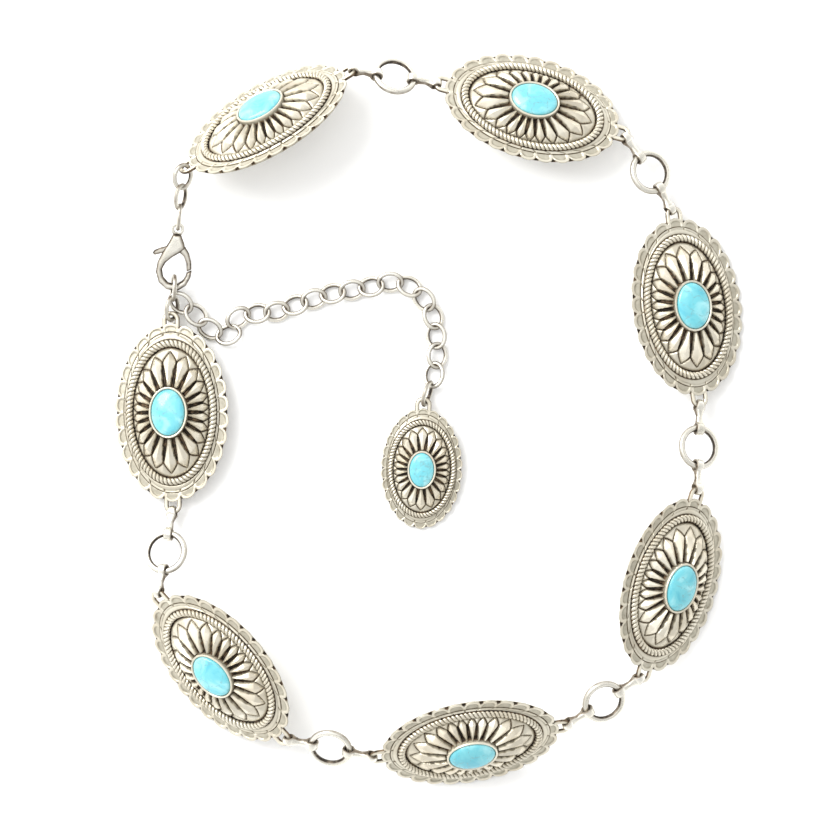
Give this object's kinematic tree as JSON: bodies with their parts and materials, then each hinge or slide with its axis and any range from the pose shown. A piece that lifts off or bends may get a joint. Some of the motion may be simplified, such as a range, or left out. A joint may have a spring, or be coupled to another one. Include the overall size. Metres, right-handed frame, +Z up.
{
  "type": "concho belt",
  "caption": "Chain belt of domed oval conchos set with cabochons, joined by rings and connectors, closed by a lobster clasp.",
  "frame": {"origin": "on the table, under the middle of the belt's box", "axes": "+Z up from the table, +Y along the loop's longer way from the lower concho to the two upper ones, +X towards the pair of conchos on the right"},
  "size_m": [0.2674, 0.3114, 0.0375],
  "materials": {
    "antique_silver": "antiqued cast silver, dark in the recesses",
    "bright_silver": "polished, lightly antiqued",
    "turquoise": "polished cabochon, pale sky blue with paler clouds"
  },
  "bodies": {
    "belt": {"concho_a": "antique_silver", "concho_b": "antique_silver", "concho_c": "antique_silver", "concho_d": "antique_silver", "concho_e": "antique_silver", "concho_f": "antique_silver", "concho_g": "antique_silver", "concho_drop": "antique_silver", "stone_a": "turquoise", "stone_b": "turquoise", "stone_c": "turquoise", "stone_d": "turquoise", "stone_e": "turquoise", "stone_f": "turquoise", "stone_g": "turquoise", "stone_drop": "turquoise", "ring_ab": "bright_silver", "ring_bc": "bright_silver", "ring_cd": "bright_silver", "ring_de": "bright_silver", "ring_ef": "bright_silver", "ring_fg": "bright_silver", "connector_ab_1": "bright_silver", "connector_ab_2": "bright_silver", "connector_bc_1": "bright_silver", "connector_bc_2": "bright_silver", "connector_cd_1": "bright_silver", "connector_cd_2": "bright_silver", "connector_de_1": "bright_silver", "connector_de_2": "bright_silver", "connector_ef_1": "bright_silver", "connector_ef_2": "bright_silver", "connector_fg_1": "bright_silver", "connector_fg_2": "bright_silver", "clasp_body": "bright_silver", "clasp_chain": "bright_silver", "spare_chain": "bright_silver"},
    "lever": {"clasp_lever": "bright_silver"}
  },
  "joints": [
    {"name": "lever_hinge", "type": "hinge", "parent": "belt", "child": "lever", "pos_m": [-0.10662, 0.07257, 0.01091], "axis": [0.0183, 0.2185, -0.9757], "range_deg": [0, 24], "stiffness_Nm_per_rad": 0.01, "springref_deg": -20.05}
  ]
}
